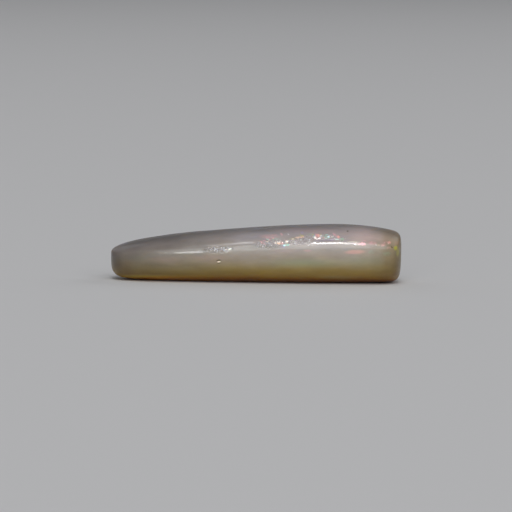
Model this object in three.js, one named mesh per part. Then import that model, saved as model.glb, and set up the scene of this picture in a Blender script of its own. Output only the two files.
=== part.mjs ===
// A polished opal, one solid stone: long and low, domed above and below, and blunt at both ends.
// Millimetres, +Z up. The long axis runs along X, the front faces -Y, and the origin is on the resting
// plane, under the middle of the stone.

import * as THREE from "three";

// Driving dimensions. A row of five or four values holds the heights or half widths that steer one
// smooth curve from the left end to the right end of the stone.
const LENGTH = 20.0;
const CREST_HEIGHTS = [2.28, 3.95, 3.18, 4.88, 3.51];
const GIRDLE_HEIGHTS = [1.72, 1.75, 1.95, 2.15];
const KEEL_HEIGHTS = [0.1, -0.12, -0.1, -0.16, 0.08];
const FRONT_HALF_WIDTHS = [2.5, 3.4, 3.5, 3.7, 3.2];
const BACK_HALF_WIDTHS = [2.2, 3.3, 3.6, 3.9, 2.7];

// How far the rounding reaches in from each end, and how square it is: 2 is a round end, more is blunter.
const END_ROUNDING = {
  crest: { left: { reach: 2.1, blunt: 4.0 }, right: { reach: 1.15, blunt: 5.5 } },
  keel: { left: { reach: 2.1, blunt: 4.0 }, right: { reach: 1.3, blunt: 5.0 } },
  width: { left: { reach: 3.2, blunt: 2.6 }, right: { reach: 1.7, blunt: 3.2 } },
};

// The cross-section: 2 would be a plain ellipse, a little more gives it fuller shoulders. It leans
// towards the front as it rises, by this much sideways for each millimetre up from the girdle.
const SECTION_FULLNESS = 2.25;
const FORWARD_LEAN = 0.25;

// How finely the surface is divided, along the stone and around it.
const STATIONS = 60;
const POINTS_AROUND = 44;

// Opal: a milky grey body with a warm tint under a glossy polish.
const OPAL = { color: 0xb3aaa0, roughness: 0.18, metalness: 0.0 };

// Smooth curve steered by evenly spaced values: the Bernstein form, where t runs from 0 to 1. The sum
// is built by blending neighbours again and again until one value is left.
function steered(values, t) {
  let row = [...values];
  while (row.length > 1) {
    row = row.slice(1).map((value, i) => row[i] * (1 - t) + value * t);
  }
  return row[0];
}

// Share of the full size that is left at this distance from an end: zero at the tip, one past the reach.
function roundedShare(distance, { reach, blunt }) {
  const inward = Math.min(Math.max(distance / reach, 0), 1);
  return (1 - (1 - inward) ** blunt) ** (1 / blunt);
}

function endShare(x, { left, right }) {
  return roundedShare(x + LENGTH / 2, left) * roundedShare(LENGTH / 2 - x, right);
}

// A cosine or sine bent towards the corners of its square, as a superellipse has it.
function squared(value) {
  return Math.sign(value) * Math.abs(value) ** (2 / SECTION_FULLNESS);
}

// One point of the surface, at a station along the stone and an angle around the section. The angle is
// zero at the back of the girdle and a quarter turn at the crest. Below the resting plane the keel is
// worn flat.
function surfacePoint(x, angle) {
  const t = x / LENGTH + 0.5;
  const girdle = steered(GIRDLE_HEIGHTS, t);
  const across = squared(Math.cos(angle));
  const up = squared(Math.sin(angle));

  const halfWidth = steered(across < 0 ? FRONT_HALF_WIDTHS : BACK_HALF_WIDTHS, t);
  const domeHeight = up > 0 ? steered(CREST_HEIGHTS, t) - girdle : girdle - steered(KEEL_HEIGHTS, t);
  const rise = domeHeight * endShare(x, up > 0 ? END_ROUNDING.crest : END_ROUNDING.keel) * up;

  const y = halfWidth * endShare(x, END_ROUNDING.width) * across - FORWARD_LEAN * rise;
  return [x, y, Math.max(girdle + rise, 0)];
}

// The stations crowd towards the ends, where the surface turns fastest.
function stationPosition(index) {
  return (-LENGTH / 2) * Math.cos((Math.PI * index) / STATIONS);
}

function stoneGeometry() {
  const positions = [];
  const triangles = [];

  for (let i = 1; i < STATIONS; i++) {
    for (let j = 0; j < POINTS_AROUND; j++) {
      positions.push(...surfacePoint(stationPosition(i), (2 * Math.PI * j) / POINTS_AROUND));
    }
  }
  const leftTip = positions.length / 3;
  positions.push(-LENGTH / 2, 0, GIRDLE_HEIGHTS.at(0));
  const rightTip = leftTip + 1;
  positions.push(LENGTH / 2, 0, GIRDLE_HEIGHTS.at(-1));

  const vertex = (ring, j) => ring * POINTS_AROUND + (j % POINTS_AROUND);
  const lastRing = STATIONS - 2;
  for (let j = 0; j < POINTS_AROUND; j++) {
    triangles.push(leftTip, vertex(0, j + 1), vertex(0, j));
    for (let ring = 0; ring < lastRing; ring++) {
      triangles.push(vertex(ring, j), vertex(ring, j + 1), vertex(ring + 1, j + 1));
      triangles.push(vertex(ring, j), vertex(ring + 1, j + 1), vertex(ring + 1, j));
    }
    triangles.push(rightTip, vertex(lastRing, j), vertex(lastRing, j + 1));
  }

  const geometry = new THREE.BufferGeometry();
  geometry.setAttribute("position", new THREE.Float32BufferAttribute(positions, 3));
  geometry.setIndex(triangles);
  return geometry;
}

// Puts the origin under the middle of the stone, on the resting plane.
function centredOnItsBase(geometry) {
  geometry.computeBoundingBox();
  const middle = geometry.boundingBox.getCenter(new THREE.Vector3());
  geometry.translate(-middle.x, -middle.y, -geometry.boundingBox.min.z);
  geometry.computeVertexNormals();
  return geometry;
}

const stone = new THREE.Mesh(centredOnItsBase(stoneGeometry()), new THREE.MeshStandardMaterial(OPAL));
stone.name = "opal_stone";

const group = new THREE.Group();
group.add(stone);

export default group;
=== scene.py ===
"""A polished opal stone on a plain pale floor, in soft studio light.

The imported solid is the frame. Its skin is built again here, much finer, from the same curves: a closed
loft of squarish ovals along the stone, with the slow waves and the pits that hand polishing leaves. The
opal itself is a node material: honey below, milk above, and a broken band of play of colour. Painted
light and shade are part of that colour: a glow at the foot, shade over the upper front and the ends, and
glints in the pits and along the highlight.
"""

import logging
import math
from dataclasses import astuple, dataclass, field
from enum import Enum
from functools import reduce

import bpy
import numpy as np
from mathutils import Matrix, Vector


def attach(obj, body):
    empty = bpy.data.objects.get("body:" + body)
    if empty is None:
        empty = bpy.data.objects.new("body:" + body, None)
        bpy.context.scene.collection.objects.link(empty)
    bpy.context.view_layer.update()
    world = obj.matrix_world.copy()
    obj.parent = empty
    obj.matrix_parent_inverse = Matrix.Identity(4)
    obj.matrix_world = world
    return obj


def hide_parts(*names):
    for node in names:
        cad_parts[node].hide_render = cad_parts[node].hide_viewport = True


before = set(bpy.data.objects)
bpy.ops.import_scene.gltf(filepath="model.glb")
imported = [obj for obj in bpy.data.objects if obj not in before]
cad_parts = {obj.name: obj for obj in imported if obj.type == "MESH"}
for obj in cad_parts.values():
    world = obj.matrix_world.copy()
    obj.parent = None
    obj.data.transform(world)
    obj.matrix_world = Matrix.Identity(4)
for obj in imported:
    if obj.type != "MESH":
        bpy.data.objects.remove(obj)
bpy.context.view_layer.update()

log = logging.getLogger("opal")

Socket = bpy.types.NodeSocket
Row = tuple[float, ...]
Pair = tuple[float, float]
Triple = tuple[float, float, float]
Stops = tuple[tuple[float, Triple], ...]
Value = Socket | float | Vector | Triple

MM = 0.001
TINY = 1e-12
PROFILE_STEPS = 20000
CREST_STOPS = 9


# Shape


def steered(values: Row, t: np.ndarray) -> np.ndarray:
    """Smooth curve steered by evenly spaced values.

    The Bernstein form, for n + 1 values: value i is weighed by n over i, times t to the power i, times
    one minus t to the power n - i.

    Args:
        values: The values that steer the curve, from its start to its end.
        t: Places along the curve, from 0 to 1.

    Returns:
        The curve's value at each place.
    """
    n = len(values) - 1
    return sum(math.comb(n, i) * t**i * (1 - t) ** (n - i) * value for i, value in enumerate(values))


def smooth_step(low: float, high: float, value: np.ndarray) -> np.ndarray:
    """Rises from 0 at low to 1 at high, with level ends: three s squared less two s cubed."""
    s = np.clip((value - low) / (high - low), 0.0, 1.0)
    return s * s * (3 - 2 * s)


@dataclass(frozen=True)
class Rounding:
    """How an end is rounded off.

    Attributes:
        reach: How far in from the tip the rounding goes, in millimetres.
        blunt: The power of its curve: 2 is round, more is squarer.
    """

    reach: float
    blunt: float

    def share(self, distance: np.ndarray) -> np.ndarray:
        """Share of the full size left at a distance from the tip, by the superellipse's formula."""
        inward = np.clip(distance / self.reach, 0.0, 1.0)
        return (1 - (1 - inward) ** self.blunt) ** (1 / self.blunt)


Ends = tuple[Rounding, Rounding]

@dataclass(frozen=True)
class StoneForm:
    """The outside of the stone as a function of the place along it and the angle around it.

    All sizes are in millimetres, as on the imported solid: the long axis along X, the front facing -Y. A
    row of values steers one smooth curve from the left end to the right end.

    Attributes:
        length: From tip to tip.
        crest: Heights of the top.
        girdle: Heights of the widest line.
        keel: Heights of the underside, before it is worn flat.
        front, back: Half widths on the two sides.
        crest_ends, keel_ends, width_ends: How each is rounded off at the left and the right end.
        fullness: The power of the cross-section: 2 is an ellipse, more has fuller shoulders.
        lean: How far the section leans to the front for each millimetre that it rises.
    """

    length: float = 20.0
    crest: Row = (2.28, 3.95, 3.18, 4.88, 3.51)
    girdle: Row = (1.72, 1.75, 1.95, 2.15)
    keel: Row = (0.1, -0.12, -0.1, -0.16, 0.08)
    front: Row = (2.5, 3.4, 3.5, 3.7, 3.2)
    back: Row = (2.2, 3.3, 3.6, 3.9, 2.7)
    crest_ends: Ends = (Rounding(2.1, 4.0), Rounding(1.15, 5.5))
    keel_ends: Ends = (Rounding(2.1, 4.0), Rounding(1.3, 5.0))
    width_ends: Ends = (Rounding(3.2, 2.6), Rounding(1.7, 3.2))
    fullness: float = 2.25
    lean: float = 0.25

    def end_share(self, x: np.ndarray, ends: Ends) -> np.ndarray:
        """Share of the full size that the two rounded ends leave at x."""
        return ends[0].share(x + self.length / 2) * ends[1].share(self.length / 2 - x)

    def squared(self, value: np.ndarray) -> np.ndarray:
        """Bends a cosine or sine towards the corners of its square, as a superellipse has it."""
        return np.sign(value) * np.abs(value) ** (2 / self.fullness)

    def surface(self, x: np.ndarray, angle: np.ndarray) -> np.ndarray:
        """The smooth skin.

        Across is half the width times the squared cosine, and up is the dome's height times the squared
        sine, from the girdle. The section then leans to the front as it rises, and what would be under
        the resting plane is worn flat.

        Args:
            x: Places along the stone.
            angle: Angles around the section, zero at the back of the girdle, a quarter turn at the crest.

        Returns:
            Points, with x, y and z in the last axis.
        """
        t = x / self.length + 0.5
        girdle = steered(self.girdle, t)
        across = self.squared(np.cos(angle))
        up = self.squared(np.sin(angle))
        half_width = np.where(across < 0, steered(self.front, t), steered(self.back, t))
        above = (steered(self.crest, t) - girdle) * self.end_share(x, self.crest_ends)
        below = (girdle - steered(self.keel, t)) * self.end_share(x, self.keel_ends)
        rise = np.where(up > 0, above, below) * up
        y = half_width * self.end_share(x, self.width_ends) * across - self.lean * rise
        return np.stack([np.broadcast_to(x, y.shape), y, np.maximum(girdle + rise, 0.0)], axis=-1)

    def on_front(self, x: float, z: float) -> Vector:
        """Finds a point of the front face.

        The section's formula turned round: across is one less the share of the dome's height to the
        power of the fullness, and that to one over the fullness.

        Args:
            x: Its place along the stone.
            z: Its height.

        Returns:
            The point.
        """
        t = np.float64(x / self.length + 0.5)
        girdle = steered(self.girdle, t)
        edge, ends = (self.crest, self.crest_ends) if z > girdle else (self.keel, self.keel_ends)
        dome = abs(steered(edge, t) - girdle) * self.end_share(x, ends)
        up = min(abs(z - girdle) / dome, 1.0)
        across = (1 - up**self.fullness) ** (1 / self.fullness)
        y = -steered(self.front, t) * self.end_share(x, self.width_ends) * across
        return Vector((x, float(y - self.lean * (z - girdle)), z))

    def stations(self, count: int) -> np.ndarray:
        """Places along the stone, spaced evenly along its side profile, with the two tips left out.

        The profile is half the crest's height over x. Its length is summed up from short straight steps.

        Args:
            count: How many gaps there are from tip to tip.

        Returns:
            The places, from the left to the right.
        """
        turn = np.linspace(0.0, np.pi, PROFILE_STEPS + 1)
        x = -self.length / 2 * np.cos(turn)
        half = steered(self.crest, x / self.length + 0.5) / 2 * self.end_share(x, self.crest_ends)
        run = np.concatenate([[0.0], np.cumsum(np.hypot(np.diff(x), np.diff(half)))])
        return np.interp(np.linspace(0.0, run[-1], count + 1)[1:-1], run, x)


# Node materials


class Sum(Enum):
    """A sum that one node does on numbers or vectors."""

    ADD = "ADD"
    SUBTRACT = "SUBTRACT"
    MULTIPLY = "MULTIPLY"
    MULTIPLY_ADD = "MULTIPLY_ADD"
    DIVIDE = "DIVIDE"
    LARGER = "MAXIMUM"
    WITHOUT_SIGN = "ABSOLUTE"


class Ease(Enum):
    """How the colours of a ramp run into each other."""

    STRAIGHT = "LINEAR"
    SMOOTH = "EASE"
    STEPPED = "CONSTANT"


class Blend(Enum):
    """How one colour is laid over another."""

    COVER = "MIX"
    MULTIPLY = "MULTIPLY"


@dataclass(frozen=True)
class Fade:
    """A smooth change of one number while another goes from low to high.

    Attributes:
        low, high: Where the change begins and where it is complete. Low may be the larger.
        start, end: The results there and beyond.
    """

    low: float
    high: float
    start: float = 0.0
    end: float = 1.0


@dataclass(frozen=True)
class Cloud:
    """A soft noise through the stone.

    Attributes:
        scale: How fine it is.
        detail: How many finer layers it has.
        rough: How strong the finer layers are.
        squeeze: How much it is squeezed along X, Y and Z, if at all.
    """

    scale: float
    detail: float = 2.0
    rough: float = 0.5
    squeeze: Triple | None = None


class Nodes:
    """Writes a material's node tree, one call for each node."""

    def __init__(self, name: str) -> None:
        """Starts an empty node tree.

        Args:
            name: The material's name.
        """
        self.material = bpy.data.materials.new(name)
        self.material.use_nodes = True
        self.tree = self.material.node_tree
        self.tree.nodes.clear()

    def plug(self, socket: Socket, value: Value) -> None:
        """Feeds one input.

        Args:
            socket: The input.
            value: An output to link to it, or what to set it to.
        """
        if isinstance(value, Socket):
            self.tree.links.new(value, socket)
        elif socket.type == "RGBA":
            socket.default_value = (*value, 1.0)
        else:
            socket.default_value = value

    def add(self, kind: str, inputs: dict[int | str, Value], **settings: str) -> bpy.types.Node:
        """Adds a node.

        Args:
            kind: Its type, as Blender calls it.
            inputs: What feeds its inputs, by number or name.
            settings: Its plain settings.

        Returns:
            The node.
        """
        node = self.tree.nodes.new(kind)
        for key, value in settings.items():
            setattr(node, key, value)
        for key, value in inputs.items():
            self.plug(node.inputs[key], value)
        return node

    def math(self, work: Sum, *values: Value) -> Socket:
        """One sum on numbers."""
        return self.add("ShaderNodeMath", dict(enumerate(values)), operation=work.value).outputs[0]

    def vector(self, work: Sum, *values: Value) -> Socket:
        """One sum on vectors."""
        return self.add("ShaderNodeVectorMath", dict(enumerate(values)), operation=work.value).outputs[0]

    def axes(self, vector: Socket) -> tuple[Socket, ...]:
        """The X, Y and Z of a vector."""
        return tuple(self.add("ShaderNodeSeparateXYZ", {0: vector}).outputs)

    def oval(self, vector: Socket, centre: Value, reach: Triple, tilt: float = 0.0) -> Socket:
        """Distance from the middle of an oval zone.

        Args:
            vector: The coordinates.
            centre: The middle of the zone.
            reach: Half its size along X, Y and Z.
            tilt: Its turn about Y, in degrees.

        Returns:
            The distance as a share of the reach: 1 on the zone's edge.
        """
        turn = (0.0, -math.radians(tilt), 0.0)
        inputs = {"Vector": vector, "Location": centre, "Rotation": turn, "Scale": reach}
        spot = self.add("ShaderNodeMapping", inputs, vector_type="TEXTURE").outputs[0]
        return self.add("ShaderNodeVectorMath", {0: spot}, operation="LENGTH").outputs["Value"]

    def fade(self, value: Socket, fade: Fade) -> Socket:
        """The result of a fade for a value."""
        inputs = dict(enumerate((value, *astuple(fade))))
        return self.add("ShaderNodeMapRange", inputs, interpolation_type="SMOOTHSTEP").outputs["Result"]

    def cloud(self, vector: Socket, cloud: Cloud, threefold: bool = False) -> Socket:
        """A soft noise between 0 and 1.

        Args:
            vector: The coordinates.
            cloud: The noise.
            threefold: Whether to give three numbers, one for each direction.

        Returns:
            The noise.
        """
        if cloud.squeeze:
            vector = self.vector(Sum.MULTIPLY, vector, cloud.squeeze)
        inputs = {"Vector": vector, "Scale": cloud.scale, "Detail": cloud.detail, "Roughness": cloud.rough}
        return self.add("ShaderNodeTexNoise", inputs).outputs["Color" if threefold else "Fac"]

    def ramp(
        self, value: Socket, stops: Stops, span: Pair = (0.0, 1.0), ease: Ease = Ease.STRAIGHT
    ) -> Socket:
        """A colour for a value.

        Args:
            value: What the colour depends on.
            stops: Pairs of a value and a colour, in order.
            span: The values at the start and the end of the ramp.
            ease: How the colours run into each other.

        Returns:
            The colour.
        """
        spread = self.add("ShaderNodeMapRange", dict(enumerate((value, *span, 0.0, 1.0))))
        node = self.add("ShaderNodeValToRGB", {"Fac": spread.outputs["Result"]})
        node.color_ramp.interpolation = ease.value
        elements = node.color_ramp.elements
        while len(elements) < len(stops):
            elements.new(1.0)
        for element, (place, colour) in zip(elements, stops):
            element.position = (place - span[0]) / (span[1] - span[0])
            element.color = (*colour, 1.0)
        return node.outputs["Color"]

    def mix(self, share: Value, under: Value, over: Value, blend: Blend = Blend.COVER) -> Socket:
        """Lays one colour over another.

        Args:
            share: How much of the upper colour shows, up to 1.
            under: The lower colour.
            over: The upper colour.
            blend: How it is laid over.

        Returns:
            The mixed colour.
        """
        node = self.add("ShaderNodeMix", {}, data_type="RGBA", blend_type=blend.value)
        inputs = {socket.identifier: socket for socket in node.inputs}
        for key, value in (("Factor_Float", share), ("A_Color", under), ("B_Color", over)):
            self.plug(inputs[key], value)
        return next(socket for socket in node.outputs if socket.identifier == "Result_Color")

    def finish(self, shader: bpy.types.Node) -> bpy.types.Material:
        """Joins the shader to the output and returns the material."""
        self.add("ShaderNodeOutputMaterial", {"Surface": shader.outputs[0]})
        return self.material


# Marks of the front face


@dataclass(frozen=True)
class FrontSpot:
    """An oval spot of the front face, in millimetres.

    Attributes:
        x, z: The place of its middle along the stone, and its height.
        long, high: Half its length, mostly along the stone, and half its height.
        tilt: Its turn in the face, in degrees, rising to the right.
    """

    x: float
    z: float
    long: float
    high: float
    tilt: float = field(default=0.0, kw_only=True)


class StoneNodes(Nodes):
    """The node tree of a material that follows the stone.

    Attributes:
        form: The stone's form.
        mm: Object coordinates in millimetres.
    """

    def __init__(self, name: str, form: StoneForm) -> None:
        """Starts the tree with its coordinates.

        Args:
            name: The material's name.
            form: The stone's form.
        """
        super().__init__(name)
        self.form = form
        place = self.add("ShaderNodeTexCoord", {}).outputs["Object"]
        self.mm = self.vector(Sum.DIVIDE, place, (MM, MM, MM))

    def spot(self, spot: FrontSpot, deep: float, mm: Socket | None = None) -> Socket:
        """Distance from the middle of a spot of the front face: 1 on its edge, and this deep under it."""
        middle = self.form.on_front(spot.x, spot.z)
        return self.oval(mm or self.mm, middle, (spot.long, deep, spot.high), spot.tilt)


@dataclass(frozen=True)
class Pit(FrontSpot):
    """A small hollow in the polish.

    Attributes:
        deep: How deep it goes, in millimetres.
        grip: How far behind its middle it still reaches, in millimetres.
    """

    deep: float
    grip: float = 1.0

    def depth_at(self, points: np.ndarray, middle: Vector) -> np.ndarray:
        """How deep the pit is at each point.

        A bell: the full depth times e to minus the fourth power of the oval distance.

        Args:
            points: Points of the skin.
            middle: The pit's middle on the front face.

        Returns:
            The depths.
        """
        turn = math.radians(self.tilt)
        dx = points[..., 0] - middle.x
        dz = points[..., 2] - middle.z
        along = (dx * math.cos(turn) + dz * math.sin(turn)) / self.long
        across = (dz * math.cos(turn) - dx * math.sin(turn)) / self.high
        near = points[..., 1] < middle.y + self.grip
        return self.deep * np.exp(-((along**2 + across**2) ** 2)) * near


@dataclass(frozen=True)
class WornPatch(FrontSpot):
    """A patch where the polish has not reached the bottom of fine pits.

    Attributes:
        pits: How many pits it has.
        seed: The seed of their places and sizes.
        lengths, depths: The least and the most of half a pit's length and its depth, in millimetres.
        heights: The same for its height, as a share of its length.
    """

    pits: int
    seed: int
    lengths: Pair = (0.05, 0.1)
    depths: Pair = (0.004, 0.01)
    heights: Pair = (0.5, 0.9)

    def fine_pits(self) -> list[Pit]:
        """Sows the pits inside the oval, even by area.

        A pit's distance from the middle is the root of an even chance, and its turn is an even chance.

        Returns:
            The pits.
        """
        random = np.random.default_rng(self.seed)
        reach = np.sqrt(random.uniform(0.0, 1.0, self.pits))
        turn = random.uniform(0.0, 2 * np.pi, self.pits)
        lean = math.radians(self.tilt)
        u = self.long * reach * np.cos(turn)
        v = self.high * reach * np.sin(turn)
        x = self.x + u * math.cos(lean) - v * math.sin(lean)
        z = self.z + u * math.sin(lean) + v * math.cos(lean)
        long = random.uniform(*self.lengths, self.pits)
        high = long * random.uniform(*self.heights, self.pits)
        deep = random.uniform(*self.depths, self.pits)
        return [Pit(*values) for values in zip(x.tolist(), z.tolist(), long, high, deep)]


PITS = (
    Pit(-2.53, 1.6, 0.14, 0.08, deep=0.05, tilt=12.0),
    Pit(-1.8, 2.45, 0.14, 0.07, deep=0.04, tilt=25.0),
    Pit(-2.06, 2.4, 0.1, 0.05, deep=0.03),
    Pit(6.23, 3.7, 0.07, 0.07, deep=0.025),
    Pit(9.27, 2.69, 0.06, 0.07, deep=0.02),
)

WORN = (
    WornPatch(-2.6, 2.4, 1.05, 0.2, tilt=4.0, pits=200, seed=21),
    WornPatch(1.1, 2.85, 1.2, 0.3, tilt=5.0, pits=170, seed=12),
    WornPatch(3.0, 3.05, 1.0, 0.26, tilt=4.0, pits=90, seed=14),
    WornPatch(4.7, 3.33, 1.4, 0.15, tilt=-2.0, pits=80, seed=13),
)


class Fire(Enum):
    """The hues of the opal's play of colour, which also serve for painted glints, and at the end the dark
    hues of its specks and of painted shade, as linear colours.
    """

    ROSE = (0.65, 0.36, 0.39)
    CORAL = (0.93, 0.45, 0.42)
    BLUSH = (0.95, 0.54, 0.6)
    PEACH = (1.0, 0.66, 0.48)
    LEMON = (0.6, 0.54, 0.18)
    LIME = (0.36, 0.34, 0.06)
    GREEN = (0.28, 0.5, 0.34)
    TEAL = (0.4, 0.85, 0.72)
    ICE = (0.7, 1.0, 1.0)
    VIOLET = (0.36, 0.31, 0.58)
    WHITE = (1.0, 0.95, 0.92)
    CREAM = (1.0, 0.83, 0.7)
    PEARL = (1.0, 0.86, 0.86)
    AMBER = (0.4, 0.2, 0.08)
    OLIVE = (0.07, 0.06, 0.02)
    DUSK = (0.12, 0.09, 0.2)


@dataclass(frozen=True)
class Flash(FrontSpot):
    """One patch of a hue on the front face.

    Attributes:
        hue: Its colour.
        strength: How much it covers what lies under it, up to 1.
        broken: Whether it is broken up into grains of unequal brightness.
    """

    hue: Fire
    strength: float
    broken: bool = True


# Play of colour in the places where the photograph has it, with some painted highlight and painted
# shade along the highlight, and the painted glints and painted shade of the pits last.
FLASHES = (
    Flash(0.88, 3.3, 0.7, 0.15, Fire.ROSE, 0.24, broken=False),
    Flash(0.8, 3.24, 0.2, 0.08, Fire.ROSE, 0.4),
    Flash(1.25, 3.4, 0.24, 0.07, Fire.ROSE, 0.4),
    Flash(1.72, 3.44, 0.12, 0.08, Fire.ROSE, 0.7, tilt=-40.0),
    Flash(1.34, 3.16, 0.32, 0.06, Fire.TEAL, 0.22),
    Flash(0.44, 2.9, 0.28, 0.09, Fire.ROSE, 0.65, tilt=-32.0),
    Flash(1.4, 2.91, 0.17, 0.08, Fire.CREAM, 1.0),
    Flash(1.54, 2.85, 0.15, 0.07, Fire.PEACH, 1.0),
    Flash(1.6, 2.97, 0.08, 0.06, Fire.CREAM, 0.9),
    Flash(1.76, 2.88, 0.13, 0.07, Fire.CORAL, 0.7),
    Flash(2.08, 3.0, 0.1, 0.07, Fire.PEARL, 1.0, broken=False),
    Flash(2.1, 2.78, 0.14, 0.08, Fire.TEAL, 0.8),
    Flash(1.92, 2.75, 0.1, 0.06, Fire.ICE, 1.0, broken=False),
    Flash(1.84, 2.65, 0.13, 0.06, Fire.VIOLET, 0.7),
    Flash(2.45, 3.19, 0.24, 0.06, Fire.LEMON, 0.35, tilt=6.0),
    Flash(2.48, 3.19, 0.06, 0.04, Fire.WHITE, 0.6),
    Flash(2.2, 3.45, 0.06, 0.05, Fire.WHITE, 0.5),
    Flash(2.97, 3.3, 0.3, 0.06, Fire.PEACH, 0.8, tilt=6.0),
    Flash(3.08, 3.39, 0.19, 0.05, Fire.LEMON, 0.6),
    Flash(3.12, 3.57, 0.14, 0.05, Fire.VIOLET, 0.35),
    Flash(3.73, 3.48, 0.28, 0.09, Fire.GREEN, 0.25),
    Flash(4.16, 3.41, 0.2, 0.14, Fire.CORAL, 0.85),
    Flash(4.01, 3.28, 0.09, 0.08, Fire.PEARL, 1.0, broken=False),
    Flash(4.32, 3.25, 0.09, 0.07, Fire.PEARL, 1.0, broken=False),
    Flash(4.41, 3.5, 0.06, 0.06, Fire.LEMON, 0.5),
    Flash(4.82, 3.29, 0.16, 0.09, Fire.TEAL, 0.55),
    Flash(4.92, 3.36, 0.09, 0.05, Fire.ICE, 0.8, broken=False),
    Flash(5.17, 3.34, 0.11, 0.06, Fire.WHITE, 0.45),
    Flash(5.09, 3.17, 0.22, 0.07, Fire.VIOLET, 0.5),
    Flash(5.34, 3.51, 0.18, 0.08, Fire.ROSE, 0.8, tilt=-32.0),
    Flash(5.54, 3.37, 0.17, 0.08, Fire.CORAL, 0.75, tilt=-30.0),
    Flash(5.5, 3.18, 0.13, 0.05, Fire.ICE, 0.6),
    Flash(5.85, 3.17, 0.16, 0.08, Fire.GREEN, 0.95),
    Flash(5.8, 3.11, 0.05, 0.03, Fire.OLIVE, 0.6),
    # Painted shade in a thin streak above the highlight, then a painted highlight along its right part.
    Flash(4.8, 3.1, 0.75, 0.045, Fire.DUSK, 0.36, tilt=1.0, broken=False),
    Flash(6.6, 3.02, 0.42, 0.05, Fire.WHITE, 0.36, tilt=-2.0, broken=False),
    Flash(3.5, 2.42, 0.3, 0.08, Fire.ROSE, 0.35, broken=False),
    Flash(6.72, 2.36, 0.7, 0.15, Fire.CORAL, 0.33, tilt=3.0, broken=False),
    # Play of colour that is also a painted highlight, where the highlight ends in pink.
    Flash(6.85, 2.9, 0.22, 0.07, Fire.PEARL, 0.6),
    Flash(7.2, 2.9, 0.26, 0.11, Fire.BLUSH, 0.95),
    Flash(7.4, 3.1, 0.22, 0.05, Fire.ROSE, 0.5),
    Flash(7.9, 2.95, 0.36, 0.15, Fire.ROSE, 0.25, broken=False),
    Flash(7.85, 2.96, 0.16, 0.08, Fire.ROSE, 0.4),
    Flash(8.12, 2.96, 0.11, 0.09, Fire.ROSE, 0.4),
    Flash(8.32, 2.84, 0.1, 0.07, Fire.PEACH, 0.15),
    Flash(8.66, 2.88, 0.26, 0.15, Fire.ROSE, 0.2, broken=False),
    Flash(8.64, 2.84, 0.13, 0.08, Fire.CORAL, 0.3),
    Flash(8.75, 3.02, 0.09, 0.09, Fire.ROSE, 0.4),
    Flash(9.08, 2.97, 0.13, 0.14, Fire.CORAL, 0.35),
    Flash(9.03, 2.64, 0.15, 0.1, Fire.CORAL, 0.25),
    Flash(9.57, 2.94, 0.2, 0.14, Fire.AMBER, 0.45),
    Flash(9.52, 2.62, 0.15, 0.16, Fire.LIME, 1.0, broken=False),
    Flash(9.68, 2.3, 0.12, 0.28, Fire.LIME, 0.55, broken=False),
    Flash(9.27, 2.69, 0.05, 0.06, Fire.OLIVE, 0.85),
    Flash(7.82, 2.37, 0.24, 0.12, Fire.GREEN, 0.2),
    Flash(8.91, 2.23, 0.28, 0.15, Fire.GREEN, 0.25),
    Flash(6.23, 3.7, 0.07, 0.05, Fire.OLIVE, 0.55, broken=False),
    # Pit A: painted shade above and below it and a painted glint; then the painted glints of pits B and C.
    Flash(-2.54, 1.66, 0.16, 0.05, Fire.OLIVE, 0.8, tilt=8.0, broken=False),
    Flash(-2.53, 1.46, 0.14, 0.04, Fire.OLIVE, 0.5, tilt=8.0, broken=False),
    Flash(-2.52, 1.565, 0.12, 0.045, Fire.CREAM, 1.0, tilt=12.0, broken=False),
    Flash(-1.79, 2.44, 0.14, 0.055, Fire.WHITE, 1.0, tilt=25.0, broken=False),
    Flash(-2.05, 2.4, 0.09, 0.045, Fire.WHITE, 0.9, tilt=10.0, broken=False),
)

# Wide soft zones that lean the body colour towards a hue. The dark ones are painted shade that tones
# down the highlights.
VEILS = (
    Flash(3.4, 1.55, 3.0, 0.4, Fire.GREEN, 0.2),
    Flash(7.2, 1.7, 1.6, 0.5, Fire.GREEN, 0.12),
    Flash(-6.2, 1.65, 1.3, 0.35, Fire.ROSE, 0.08),
    Flash(-3.2, 1.8, 1.6, 0.3, Fire.ROSE, 0.08),
    Flash(3.5, 3.7, 2.6, 0.2, Fire.ROSE, 0.12),
    Flash(1.9, 2.4, 1.1, 0.25, Fire.ROSE, 0.12),
    Flash(8.0, 3.2, 1.3, 0.3, Fire.ROSE, 0.08),
    Flash(7.5, 3.5, 1.8, 0.3, Fire.BLUSH, 0.05),
    Flash(5.6, 0.5, 1.6, 0.18, Fire.GREEN, 0.12),
    # The two dark olive veils: painted shade over the highlights.
    Flash(8.3, 2.84, 1.4, 0.34, Fire.OLIVE, 0.34),
    Flash(0.0, 2.64, 2.7, 0.25, Fire.OLIVE, 0.26),
)


@dataclass(frozen=True)
class FireField:
    """A zone of the skin that is sown with small sparks of colour, in millimetres.

    Attributes:
        centre: The middle of the zone.
        reach: Half its size along X, Y and Z.
        density: The share of grains that light up in its middle.
        strength: How much a spark covers what lies under it, up to 1.
        haze: How much haze lies over its middle, up to 1.
    """

    centre: Triple
    reach: Triple
    density: float
    strength: float
    haze: float = 0.0


FIELDS = (
    FireField((1.3, -3.2, 3.0), (1.6, 1.0, 0.42), density=0.45, strength=0.5),
    FireField((4.4, -3.0, 3.35), (1.9, 1.0, 0.34), density=0.5, strength=0.55),
    FireField((8.2, -3.0, 2.9), (1.8, 1.2, 0.4), density=0.35, strength=0.35),
    FireField((4.6, 0.5, 3.9), (5.5, 1.9, 1.4), density=0.6, strength=0.45, haze=0.2),
    FireField((3.0, 3.2, 2.4), (6.5, 1.6, 1.3), density=0.55, strength=0.45, haze=0.2),
)


# Finishes


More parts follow.
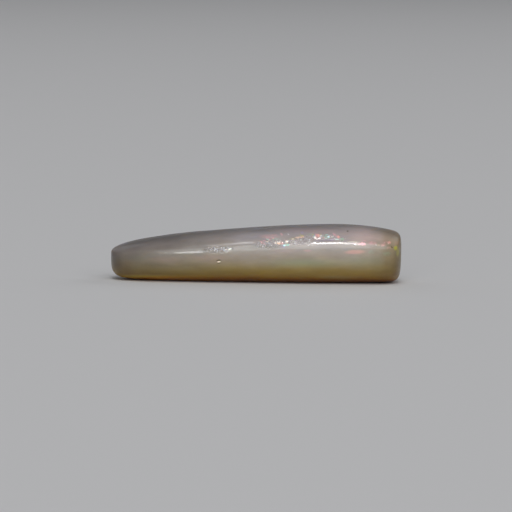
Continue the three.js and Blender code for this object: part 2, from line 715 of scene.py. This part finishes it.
@dataclass(frozen=True)
class BodyColour:
    """The opal's colour with painted light and shade: honey at the foot, milk above, in graded zones.

    Heights are shares of the crest's height at the same place, so that the zones follow the stone. The
    honey at the foot is partly a painted glow of light through the stone, the lower left edge gets painted
    light, and the upper front and the two ends are darkened with painted shade.

    Attributes:
        zones: Colours by height, with the painted glow at the foot and painted shade at the crest.
        base_tint_and_light: What they are multiplied by at the foot, by place along the stone in
            millimetres.
        middle_tint_and_shade: The same for the middle height.
        crest_tint_and_shade: The same for the upper part.
        to_middle, to_crest: The heights over which each tint gives way to the next.
        wander: How far the zones wander up and down.
        back: Where the back begins, from front to back in millimetres.
        back_wander: How far that line wanders, in millimetres for each unit of height.
        back_milk: The height above which the back keeps one colour.
        back_tint: What the back's colour is multiplied by.
        back_share: How much of that tint it gets, up to 1.
    """

    # Partly the stone's own honey and milk, partly painted light and shade: a painted glow through the
    # foot, brightest at the very foot against its contact shade, and painted shade in the top stops at the
    # crest.
    zones: Stops = (
        (0.03, (0.275, 0.08, 0.001)), (0.09, (0.255, 0.096, 0.001)),
        (0.14, (0.28, 0.152, 0.003)), (0.2, (0.288, 0.183, 0.016)),
        (0.26, (0.325, 0.232, 0.062)), (0.32, (0.345, 0.27, 0.125)),
        (0.38, (0.342, 0.279, 0.173)), (0.46, (0.352, 0.3, 0.228)),
        (0.54, (0.37, 0.325, 0.278)), (0.64, (0.362, 0.342, 0.322)),
        (0.75, (0.36, 0.33, 0.322)), (0.86, (0.34, 0.31, 0.314)),
        (0.92, (0.3, 0.272, 0.277)), (0.98, (0.235, 0.212, 0.215)),
    )
    # Partly the stone's colour, partly painted light on the lower left edge, where the foot curves up.
    base_tint_and_light: Stops = (
        (-10.0, (0.6, 0.6, 1.0)), (-9.0, (2.4, 3.4, 28.0)),
        (-7.0, (2.1, 2.85, 22.0)), (-5.0, (1.5, 1.8, 4.0)),
        (-2.5, (1.15, 1.2, 1.5)), (0.0, (0.95, 1.0, 1.1)),
        (6.0, (1.0, 0.95, 0.9)), (8.3, (1.15, 1.15, 1.4)),
        (9.2, (0.9, 0.95, 1.2)), (10.0, (0.5, 0.4, 0.4)),
    )
    # Partly the stone's colour, partly painted shade that darkens the two ends.
    middle_tint_and_shade: Stops = (
        (-10.0, (0.3, 0.26, 0.2)), (-9.0, (0.5, 0.44, 0.34)),
        (-8.0, (0.6, 0.58, 0.49)), (-5.0, (0.76, 0.75, 0.68)),
        (-2.5, (0.92, 0.91, 0.88)), (-0.5, (1.0, 1.0, 1.0)),
        (6.5, (1.04, 1.03, 1.02)), (7.5, (1.0, 0.98, 0.92)),
        (8.3, (0.85, 0.84, 0.72)), (9.0, (0.71, 0.65, 0.46)),
        (10.0, (0.42, 0.33, 0.13)),
    )
    # Partly the stone's colour, partly painted shade over the upper part's left half and its ends.
    crest_tint_and_shade: Stops = (
        (-10.0, (0.33, 0.3, 0.28)), (-9.0, (0.47, 0.46, 0.43)),
        (-6.0, (0.51, 0.49, 0.455)), (-4.0, (0.64, 0.635, 0.595)),
        (-2.5, (0.78, 0.76, 0.72)), (-0.5, (0.97, 0.97, 0.97)),
        (6.0, (1.04, 1.0, 0.98)), (7.5, (1.28, 1.16, 1.09)),
        (8.3, (1.12, 1.04, 0.9)), (9.0, (0.86, 0.76, 0.56)),
        (10.0, (0.6, 0.5, 0.32)),
    )
    to_middle: Fade = Fade(0.07, 0.2)
    to_crest: Fade = Fade(0.5, 0.82)
    wander: float = 0.12
    back: Fade = Fade(-1.7, 0.7)
    back_wander: float = 10.0
    back_milk: float = 0.74
    back_tint: Triple = (1.1, 1.07, 1.03)
    back_share: float = 0.8

    def colour(self, nodes: StoneNodes) -> Socket:
        """The colour of the stone without its play of colour.

        Args:
            nodes: The material's nodes.

        Returns:
            The colour.
        """
        x, y, z = nodes.axes(nodes.mm)
        form = nodes.form
        half = form.length / 2
        span = (-half, half)
        places = np.linspace(*span, CREST_STOPS)
        crest_heights = steered(form.crest, places / form.length + 0.5)
        stops = tuple((place, (height, height, height)) for place, height in zip(places, crest_heights))
        crest = nodes.ramp(x, stops, span)

        drift = nodes.cloud(nodes.mm, Cloud(1.0, detail=3.0, squeeze=(0.25, 0.6, 1.0)))
        drift = nodes.math(Sum.MULTIPLY, nodes.math(Sum.SUBTRACT, drift, 0.5), self.wander)
        height = nodes.math(Sum.ADD, nodes.math(Sum.DIVIDE, z, crest), drift)
        behind = nodes.fade(nodes.math(Sum.MULTIPLY_ADD, drift, self.back_wander, y), self.back)
        # On the back the height is held at back_milk, so the darkest crest zones, which are painted shade,
        # stay on the front.
        above = nodes.math(Sum.LARGER, nodes.math(Sum.SUBTRACT, height, self.back_milk), 0.0)
        height = nodes.math(Sum.SUBTRACT, height, nodes.math(Sum.MULTIPLY, above, behind))

        base, middle, top = (
            nodes.ramp(x, tints, span, Ease.SMOOTH)
            for tints in (self.base_tint_and_light, self.middle_tint_and_shade, self.crest_tint_and_shade)
        )
        tint = nodes.mix(nodes.fade(height, self.to_middle), base, middle)
        tint = nodes.mix(nodes.fade(height, self.to_crest), tint, top)
        tint = nodes.mix(nodes.math(Sum.MULTIPLY, behind, self.back_share), tint, self.back_tint)
        colour = nodes.mix(1.0, nodes.ramp(height, self.zones), tint, Blend.MULTIPLY)
        clouds = nodes.cloud(nodes.mm, Cloud(1.6, detail=4.0, rough=0.6, squeeze=(0.35, 0.8, 0.9)))
        shade = nodes.fade(clouds, Fade(0.3, 0.7, start=0.92, end=1.08))
        return nodes.mix(1.0, colour, shade, Blend.MULTIPLY)


@dataclass(frozen=True)
class PlayOfColour:
    """Soft veils of colour, some of them painted shade, then small sparks in a haze, then single flashes,
    among them painted glints, painted highlight and painted shade.

    An edge is two distances from the middle, as shares of the reach: where the colour begins, and where
    it is full.

    Attributes:
        palette: The hues of the sparks, by chance.
        haze: The hues of the haze, by chance.
        field_edge, veil_edge, flash_edge: The edges of a zone of sparks, a veil and a flash.
        veil_depth, flash_depth: How far a veil and a flash reach in from the skin, in millimetres.
        ragged: How ragged the grains are along X, Y and Z, in millimetres.
        grain: How fine the grains are.
        spark: By how much a grain's chance has to be beaten for it to begin and to be fully lit.
    """

    palette: Stops = (
        (0.0, Fire.ROSE.value), (0.22, Fire.CORAL.value), (0.34, Fire.PEACH.value),
        (0.44, Fire.WHITE.value), (0.54, Fire.GREEN.value), (0.72, Fire.TEAL.value),
        (0.82, Fire.VIOLET.value), (0.92, Fire.LEMON.value),
    )
    haze: Stops = (
        (0.36, Fire.ROSE.value), (0.46, (0.45, 0.4, 0.42)),
        (0.54, (0.4, 0.43, 0.38)), (0.64, Fire.GREEN.value),
    )
    field_edge: Pair = (1.1, 0.3)
    veil_edge: Pair = (1.3, 0.0)
    flash_edge: Pair = (1.3, 0.5)
    veil_depth: float = 1.5
    flash_depth: float = 0.6
    ragged: Triple = (0.2, 0.2, 0.2)
    grain: float = 9.0
    spark: Pair = (0.0, 0.2)

    def over(self, nodes: StoneNodes, colour: Socket) -> Socket:
        """Lays the play of colour, with its painted glints and painted shade, over the stone's body
        colour.

        Args:
            nodes: The material's nodes.
            colour: The stone's body colour.

        Returns:
            The colour with the play of colour in it.
        """
        mm = nodes.mm
        for veil in VEILS:
            share = nodes.fade(nodes.spot(veil, self.veil_depth), Fade(*self.veil_edge, end=veil.strength))
            colour = nodes.mix(share, colour, veil.hue.value)

        wobble = nodes.cloud(mm, Cloud(6.0), threefold=True)
        wobble = nodes.vector(Sum.SUBTRACT, wobble, (0.5, 0.5, 0.5))
        ragged = nodes.vector(Sum.MULTIPLY_ADD, wobble, self.ragged, mm)
        grains = nodes.vector(Sum.MULTIPLY, ragged, (0.8, 0.9, 1.2))
        grains = nodes.add("ShaderNodeTexVoronoi", {"Vector": grains, "Scale": self.grain})
        odds = nodes.add("ShaderNodeSeparateColor", {0: grains.outputs["Color"]}).outputs
        hue = nodes.ramp(odds["Red"], self.palette, ease=Ease.STEPPED)
        clumps = nodes.fade(nodes.cloud(mm, Cloud(1.7)), Fade(0.42, 0.62))
        haze = nodes.ramp(nodes.cloud(mm, Cloud(1.1, squeeze=(0.5, 1.0, 1.2))), self.haze)
        for zone in FIELDS:
            distance = nodes.oval(mm, zone.centre, zone.reach)
            if zone.haze:
                share = nodes.fade(distance, Fade(*self.field_edge, end=zone.haze))
                colour = nodes.mix(share, colour, haze)
            density = nodes.fade(distance, Fade(*self.field_edge, end=zone.density))
            lit = nodes.math(Sum.SUBTRACT, nodes.math(Sum.MULTIPLY, density, clumps), odds["Green"])
            colour = nodes.mix(nodes.fade(lit, Fade(*self.spark, end=zone.strength)), colour, hue)

        glow = nodes.fade(odds["Blue"], Fade(0.1, 0.7, start=0.25))
        for flash in FLASHES:
            distance = nodes.spot(flash, self.flash_depth, ragged if flash.broken else mm)
            share = nodes.fade(distance, Fade(*self.flash_edge, end=flash.strength))
            if flash.broken:
                share = nodes.math(Sum.MULTIPLY, share, glow)
            colour = nodes.mix(share, colour, flash.hue.value)
        return colour


@dataclass(frozen=True)
class Polish:
    """A glossy polish, thin at the foot and the ends, and unfinished in the worn patches.

    Attributes:
        worn_depth: How far a worn patch reaches in from the skin, in millimetres.
        worn_edge: How it fades out, by distance as a share of its reach.
        worn_roughness: What it adds to the roughness.
        worn_grain, even_grain: How strong the fine grain is in it, and all over.
        ripple: How strong a softer unevenness is all over.
        grain_height: The height of the full grain, in millimetres.
        pale, dark: The colours of the painted glints and of the painted shade of the fine pits in it.
    """

    worn_depth: float = 0.9
    worn_edge: Fade = Fade(1.25, 0.6)
    worn_roughness: float = 0.15
    worn_grain: float = 0.6
    even_grain: float = 0.02
    ripple: float = 0.04
    grain_height: float = 0.1
    # The colours of the painted glints and the painted shade of the fine pits.
    pale: Triple = (0.64, 0.65, 0.7)
    dark: Triple = (0.15, 0.155, 0.18)

    def worn(self, nodes: StoneNodes) -> Socket:
        """Where the polish is unfinished: 1 in the worn patches of the front face, 0 elsewhere."""
        shares = [nodes.fade(nodes.spot(patch, self.worn_depth), self.worn_edge) for patch in WORN]
        return reduce(lambda total, share: nodes.math(Sum.LARGER, total, share), shares)

    def pit_glints_and_shade(self, nodes: StoneNodes, worn: Socket, colour: Socket) -> Socket:
        """Lays fine specks over a colour in the worn patches: pale ones are painted glints of the fine
        pits, dark ones painted shade in them.

        Args:
            nodes: The material's nodes.
            worn: Where the polish is unfinished.
            colour: The colour under the crumbs.

        Returns:
            The colour with the crumbs.
        """
        pit_speckle = nodes.cloud(nodes.mm, Cloud(13.0, detail=1.0, squeeze=(0.8, 1.0, 1.1)))
        # Pale specks: painted glints of the fine pits. Dark specks: painted shade in them.
        pale = nodes.math(Sum.MULTIPLY, nodes.fade(pit_speckle, Fade(0.5, 0.68, end=0.65)), worn)
        dark = nodes.math(Sum.MULTIPLY, nodes.fade(pit_speckle, Fade(0.45, 0.33, end=0.25)), worn)
        return nodes.mix(dark, nodes.mix(pale, colour, self.pale), self.dark)

    def sockets(self, nodes: StoneNodes, worn: Socket) -> dict[str, Socket]:
        """What the polish feeds to the shader.

        The gloss has faint smears. The fine grain is strong only where the polish is unfinished. The coat
        is full over the stone, and thin at its foot and its two ends.

        Args:
            nodes: The material's nodes.
            worn: Where the polish is unfinished.

        Returns:
            The outputs, by the names of the shader's inputs.
        """
        smears = nodes.cloud(nodes.mm, Cloud(1.2, detail=3.0, squeeze=(0.5, 1.0, 2.0)))
        gloss = nodes.fade(smears, Fade(0.3, 0.75, start=0.3, end=0.42))
        strength = nodes.math(Sum.MULTIPLY_ADD, worn, self.worn_grain, self.even_grain)
        ripple = nodes.math(Sum.MULTIPLY, nodes.cloud(nodes.mm, Cloud(2.2)), self.ripple)
        grain = nodes.cloud(nodes.mm, Cloud(9.0, detail=1.5, rough=0.6))
        height = nodes.math(Sum.MULTIPLY_ADD, grain, strength, ripple)
        bump = nodes.add("ShaderNodeBump", {"Height": height, "Distance": self.grain_height * MM})
        x, _, z = nodes.axes(nodes.mm)
        foot = nodes.fade(z, Fade(0.1, 1.0, start=0.1, end=0.85))
        ends = nodes.fade(nodes.math(Sum.WITHOUT_SIGN, x), Fade(9.9, 8.4, start=0.2))
        return {
            "Roughness": nodes.math(Sum.MULTIPLY_ADD, worn, self.worn_roughness, gloss),
            "Normal": bump.outputs[0],
            "Coat Normal": bump.outputs[0],
            "Coat Weight": nodes.math(Sum.MULTIPLY, foot, ends),
        }


@dataclass(frozen=True)
class OpalFinish:
    """Milky precious opal under a glossy polish.

    Attributes:
        form: The stone's form, which the colours follow.
        body: Its own colour.
        fire: Its play of colour.
        polish: Its polish.
        ior: The refractive index of opal.
        shine: The strength of the reflection from under the coat.
        coat_roughness: How rough the coat is.
        glow, glow_reach: How much of the light spreads under the skin, and how far in millimetres.
        glow_colours: The shares of that reach for red, green and blue.
    """

    form: StoneForm
    body: BodyColour = BodyColour()
    fire: PlayOfColour = PlayOfColour()
    polish: Polish = Polish()
    ior: float = 1.43
    shine: float = 0.25
    coat_roughness: float = 0.07
    glow: float = 0.85
    glow_reach: float = 1.5
    glow_colours: Triple = (1.0, 0.75, 0.45)

    def material(self) -> bpy.types.Material:
        """Builds the node material.

        Returns:
            The material, with body colour, play of colour, coat, roughness and fine unevenness.
        """
        nodes = StoneNodes("polished_opal", self.form)
        worn = self.polish.worn(nodes)
        # The worn patches get painted glints and painted shade of their fine pits.
        colour = self.polish.pit_glints_and_shade(nodes, worn, self.body.colour(nodes))
        inputs = {
            **self.polish.sockets(nodes, worn),
            "Base Color": self.fire.over(nodes, colour),
            "IOR": self.ior,
            "Specular IOR Level": self.shine,
            "Coat Roughness": self.coat_roughness,
            "Coat IOR": self.ior,
            "Subsurface Weight": self.glow,
            "Subsurface Radius": self.glow_colours,
            "Subsurface Scale": self.glow_reach * MM,
        }
        return nodes.finish(nodes.add("ShaderNodeBsdfPrincipled", inputs))


@dataclass(frozen=True)
class FloorFinish:
    """A plain pale matte floor, with hardly any shine."""

    colour: Triple = (0.62, 0.62, 0.63)
    roughness: float = 0.6
    shine: float = 0.2

    def material(self) -> bpy.types.Material:
        """Builds the floor's material.

        Returns:
            The material.
        """
        nodes = Nodes("pale_floor")
        inputs = {"Base Color": self.colour, "Roughness": self.roughness, "Specular IOR Level": self.shine}
        return nodes.finish(nodes.add("ShaderNodeBsdfPrincipled", inputs))


# The stone


def in_scene(name: str, data: bpy.types.ID) -> bpy.types.Object:
    """Makes an object and puts it in the scene.

    Args:
        name: Its name.
        data: Its mesh, light or camera.

    Returns:
        The object.
    """
    thing = bpy.data.objects.new(name, data)
    bpy.context.scene.collection.objects.link(thing)
    return thing


# The slow waves of hand polishing. Each has its turn in a millimetre along X, Y and Z and its turn at
# the origin, in radians, and its height beside the others.
WAVES = (
    ((1.1, 0.8, 0.0), 0.4, 1.0),
    ((1.9, 0.0, -1.3), 2.1, 0.7),
    ((3.1, -1.7, 2.2), 0.9, 0.5),
)


@dataclass
class OpalStone:
    """The whole object: one solid opal, with a finely worked skin.

    Attributes:
        form: Its outside, before the marks of polishing.
        stations, around: How many gaps there are along it, and how many points around it.
        crowd: How much the points crowd towards the front face, from 0 to under 1.
        wave: Height of the slow waves in its polish, in millimetres.
        flat_fade: How far over the resting plane the marks reach their full size, in millimetres.
        pits: The single pits in its front face.
        worn: The patches of fine pits.
    """

    form: StoneForm = StoneForm()
    stations: int = 410
    around: int = 238
    crowd: float = 0.45
    wave: float = 0.009
    flat_fade: float = 0.5
    pits: tuple[Pit, ...] = PITS
    worn: tuple[WornPatch, ...] = WORN

    def relief(self, points: np.ndarray) -> np.ndarray:
        """How far each point moves out along its normal.

        A sum of crossing sines, less their full height so that nothing stands out of the form, and less
        the depth of every pit. All of it fades away towards the resting flat.

        Args:
            points: Points of the smooth skin, in millimetres.

        Returns:
            Distances in millimetres, below zero inwards.
        """
        total = sum(share * np.sin(points @ turn + start) for turn, start, share in WAVES)
        out = self.wave * (total / sum(share for _, _, share in WAVES) - 1)
        fine = [pit for patch in self.worn for pit in patch.fine_pits()]
        for pit in (*self.pits, *fine):
            out = out - pit.depth_at(points, self.form.on_front(pit.x, pit.z))
        return out * smooth_step(0.0, self.flat_fade, points[..., 2])

    def skin(self) -> tuple[np.ndarray, np.ndarray]:
        """The points of the skin and the two tips.

        The angle is the turn plus a share of its sine, which crowds the points towards the front. The
        normal is the cross product of the two ways across the grid, from central differences.

        Returns:
            A grid of points, stations by points around, and the left and right tip.
        """
        half = self.form.length / 2
        x = self.form.stations(self.stations)[:, None]
        turn = (np.arange(self.around) * 2 * np.pi / self.around)[None, :]
        points = self.form.surface(x, turn + self.crowd * np.sin(turn))
        along = np.gradient(points, axis=0)
        around = np.roll(points, -1, axis=1) - np.roll(points, 1, axis=1)
        normal = np.cross(around, along)
        normal = normal / np.maximum(np.linalg.norm(normal, axis=-1, keepdims=True), TINY)
        points = points + normal * self.relief(points)[..., None]
        points[..., 0] = np.clip(points[..., 0], -half, half)
        points[..., 2] = np.maximum(points[..., 2], 0.0)
        tips = np.array([[-half, 0.0, self.form.girdle[0]], [half, 0.0, self.form.girdle[-1]]])
        return points, tips

    def mesh(self) -> bpy.types.Mesh:
        """Closes the skin: four-sided faces between the rings, and a fan of triangles at each tip.

        Returns:
            The mesh, in metres.
        """
        points, tips = self.skin()
        rings, around = points.shape[:2]
        index = np.arange(rings * around).reshape(rings, around)
        beside = np.roll(index, -1, axis=1)
        quads = np.stack([index[:-1], beside[:-1], beside[1:], index[1:]], axis=-1).reshape(-1, 4)
        left = np.full(around, rings * around)
        fan_left = np.stack([left, beside[0], index[0]], axis=-1)
        fan_right = np.stack([left + 1, index[-1], beside[-1]], axis=-1)

        vertices = (np.concatenate([points.reshape(-1, 3), tips]) - self.centre_offset()) * MM
        faces = quads.tolist() + fan_left.tolist() + fan_right.tolist()
        mesh = bpy.data.meshes.new("opal_stone_skin")
        mesh.from_pydata(vertices.tolist(), [], faces)
        mesh.polygons.foreach_set("use_smooth", np.ones(len(faces), dtype=bool))
        mesh.update()
        return mesh

    def centre_offset(self) -> np.ndarray:
        """How far the form's own origin lies from the middle of its box, which the frame puts at zero.

        Returns:
            The distance along X, Y and Z, in millimetres.
        """
        x = self.form.stations(self.stations)[:, None]
        angle = np.linspace(0.0, 2 * np.pi, self.around)[None, :]
        y = self.form.surface(x, angle)[..., 1]
        return np.array([0.0, (y.min() + y.max()) / 2, 0.0])

    def build(self) -> bpy.types.Object:
        """Builds and dresses the stone and puts it in the frame.

        Returns:
            The finished piece.
        """
        stone = in_scene("polished_opal_stone", self.mesh())
        stone.data.materials.append(OpalFinish(self.form).material())
        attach(stone, "root")
        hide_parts("opal_stone")
        return stone


# The studio


@dataclass(frozen=True)
class SoftBox:
    """A soft white light that faces the stone.

    Attributes:
        name: What it is for.
        azimuth: Its side, in degrees from the camera's side towards the right.
        elevation: Its height over the horizon, in degrees.
        wide, tall: How wide and how tall it looks from the stone, in degrees.
        radiance: How bright its face is.
        spin: Its turn about its own axis, in degrees.
        distance: How far it stands from the stone, in metres.
    """

    name: str
    azimuth: float
    elevation: float
    wide: float
    tall: float
    radiance: float
    spin: float = 0.0
    distance: float = 4.0

    def build(self) -> None:
        """Hangs the light. Its power is its radiance times its area times pi."""
        lamp = bpy.data.lights.new(self.name, "AREA")
        lamp.shape = "RECTANGLE"
        lamp.size = 2 * self.distance * math.tan(math.radians(self.wide / 2))
        lamp.size_y = 2 * self.distance * math.tan(math.radians(self.tall / 2))
        lamp.energy = self.radiance * lamp.size * lamp.size_y * math.pi
        side = math.radians(self.azimuth)
        rise = math.radians(self.elevation)
        level = math.cos(rise)
        away = Vector((math.sin(side) * level, -math.cos(side) * level, math.sin(rise)))
        spin = Matrix.Rotation(math.radians(self.spin), 3, "Z")
        turn = away.to_track_quat("Z", "Y").to_matrix() @ spin
        light = in_scene(self.name, lamp)
        light.matrix_world = Matrix.Translation(away * self.distance) @ turn.to_4x4()


@dataclass
class Studio:
    """The pale floor, the soft lights, the surroundings and the camera.

    Attributes:
        distance: From the camera to the point it aims at, in metres.
        elevation: How far the camera looks down, in degrees.
        roll: How far the picture is turned clockwise, in degrees.
        aim: The point in the middle of the picture, in metres.
        frame_width: How much is seen from side to side at that point, in metres.
        sensor: The width of the camera's sensor, in millimetres.
        nearest, furthest: From where to where the camera sees, in metres.
        floor_size: The side of the square floor, in metres.
        surroundings, surroundings_colour: How bright the surroundings are, and their colour.
        lights: The soft lights.
    """

    distance: float = 0.26
    elevation: float = 4.5
    roll: float = 0.7
    aim: Triple = (0.0, 0.0, 0.00173)
    frame_width: float = 0.03531
    sensor: float = 36.0
    nearest: float = 0.01
    furthest: float = 50.0
    floor_size: float = 8.0
    surroundings: float = 0.12
    surroundings_colour: Triple = (0.95, 0.97, 1.0)
    lights: tuple[SoftBox, ...] = (
        SoftBox("key", azimuth=2.0, elevation=46.0, wide=10.5, tall=11.0, radiance=25.0, spin=20.0),
        SoftBox("left_strip", azimuth=-11.8, elevation=10.0, wide=5.6, tall=16.0, radiance=10.0, spin=6.0),
        SoftBox("front_fill", azimuth=12.0, elevation=30.0, wide=52.0, tall=36.0, radiance=3.0,
                distance=5.0),
        SoftBox("overhead_ribbon", azimuth=-19.0, elevation=70.0, wide=4.5, tall=22.0, radiance=6.0),
        SoftBox("back_fill_right", azimuth=125.0, elevation=28.0, wide=42.0, tall=34.0, radiance=1.0),
        SoftBox("back_fill_left", azimuth=-140.0, elevation=30.0, wide=42.0, tall=34.0, radiance=0.4),
    )

    def build(self) -> None:
        """Builds everything round the stone."""
        self.camera()
        self.floor()
        self.world()
        for light in self.lights:
            light.build()
            log.info("light %s", light.name)

    def camera(self) -> None:
        """Sets up the camera: in front, a little above the floor, with a long lens."""
        fall = math.radians(self.elevation)
        roll = math.radians(self.roll)
        forward = Vector((0.0, math.cos(fall), -math.sin(fall)))
        level = Vector((1.0, 0.0, 0.0))
        upright = level.cross(forward)
        side = level * math.cos(roll) + upright * math.sin(roll)
        up = upright * math.cos(roll) - level * math.sin(roll)

        lens = bpy.data.cameras.new("camera")
        lens.sensor_width = self.sensor
        lens.lens = self.sensor * self.distance / self.frame_width
        lens.clip_start = self.nearest
        lens.clip_end = self.furthest
        camera = in_scene("camera", lens)
        turn = Matrix((side, up, -forward)).transposed().to_4x4()
        camera.matrix_world = Matrix.Translation(Vector(self.aim) - forward * self.distance) @ turn
        bpy.context.scene.camera = camera

    def floor(self) -> None:
        """Lays one large flat face on the resting plane."""
        half = self.floor_size / 2
        mesh = bpy.data.meshes.new("floor")
        corners = [(-half, -half, 0.0), (half, -half, 0.0), (half, half, 0.0), (-half, half, 0.0)]
        mesh.from_pydata(corners, [], [(0, 1, 2, 3)])
        floor = in_scene("floor", mesh)
        mesh.materials.append(FloorFinish().material())

    def world(self) -> None:
        """Sets even pale surroundings, and plain colours in the picture."""
        world = bpy.data.worlds.new("surroundings")
        world.use_nodes = True
        background = world.node_tree.nodes["Background"]
        background.inputs["Color"].default_value = (*self.surroundings_colour, 1.0)
        background.inputs["Strength"].default_value = self.surroundings
        scene = bpy.context.scene
        scene.world = world
        scene.view_settings.view_transform = "Standard"


def main() -> None:
    """Builds the studio and the stone, in that order."""
    logging.basicConfig(level=logging.INFO, format="%(name)s: %(message)s")
    Studio().build()
    stone = OpalStone().build()
    log.info("piece %s with %d faces", stone.name, len(stone.data.polygons))


if __name__ == "__main__":
    main()
